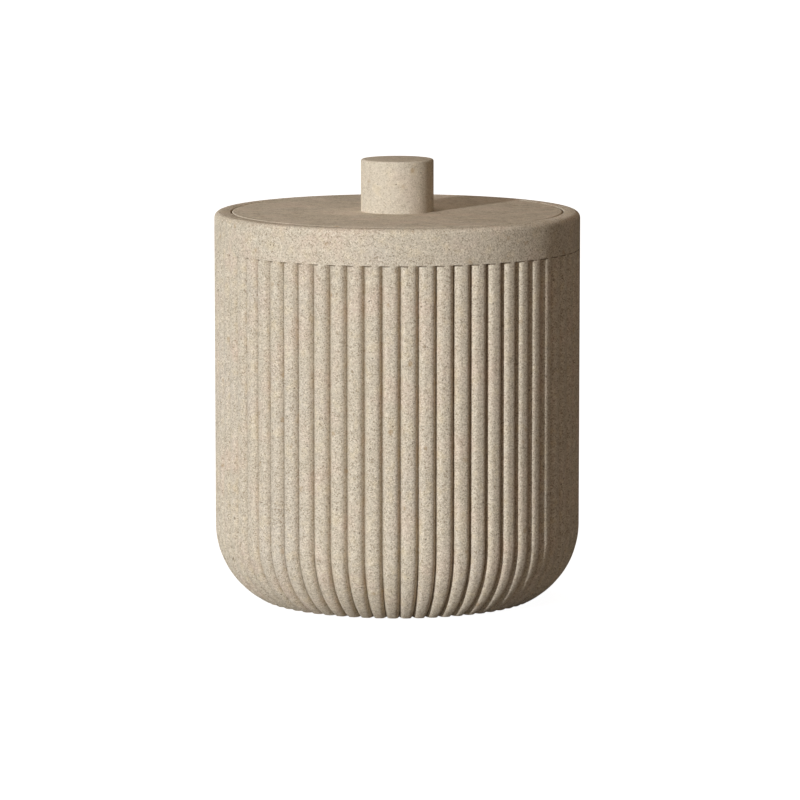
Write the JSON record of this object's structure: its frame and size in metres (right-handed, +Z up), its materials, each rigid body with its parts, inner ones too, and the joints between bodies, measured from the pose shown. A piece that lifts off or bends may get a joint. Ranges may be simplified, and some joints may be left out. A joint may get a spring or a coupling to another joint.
{
  "type": "cotton pad holder",
  "caption": "Round lidded jar for cotton pads: ribbed cast-stone body with a smooth rim band, a flat lid let into the rim with a cylindrical knob, and a soft pad under the base.",
  "frame": {"origin": "middle of the base pad's underside, on the surface that the jar stands on", "axes": "+Z up along the jar's axis; the shape is turned, so +X and +Y are alike, and -Y faces the picture's viewer"},
  "size_m": [0.099, 0.099, 0.12],
  "materials": {
    "cast_stone": "matte",
    "soft_foam": "matte",
    "silicone": "satin",
    "brass": "satin",
    "zinc_steel": "satin"
  },
  "bodies": {
    "jar": {"jar_body": "cast_stone", "base_pad": "soft_foam"},
    "seal": {"lid_seal": "silicone"},
    "lid": {"lid_plate": "cast_stone", "lid_knob": "cast_stone", "knob_insert": "brass", "screw_washer": "zinc_steel", "knob_screw": "zinc_steel"}
  },
  "joints": [
    {"name": "lid_lift", "type": "slide", "parent": "jar", "child": "seal", "axis": [0, 0, 1], "range_m": [0, 0.06]},
    {"name": "lid_turn", "type": "hinge", "parent": "seal", "child": "lid", "pos_m": [0, 0, 0.0998], "axis": [0, 0, 1], "continuous": true}
  ]
}
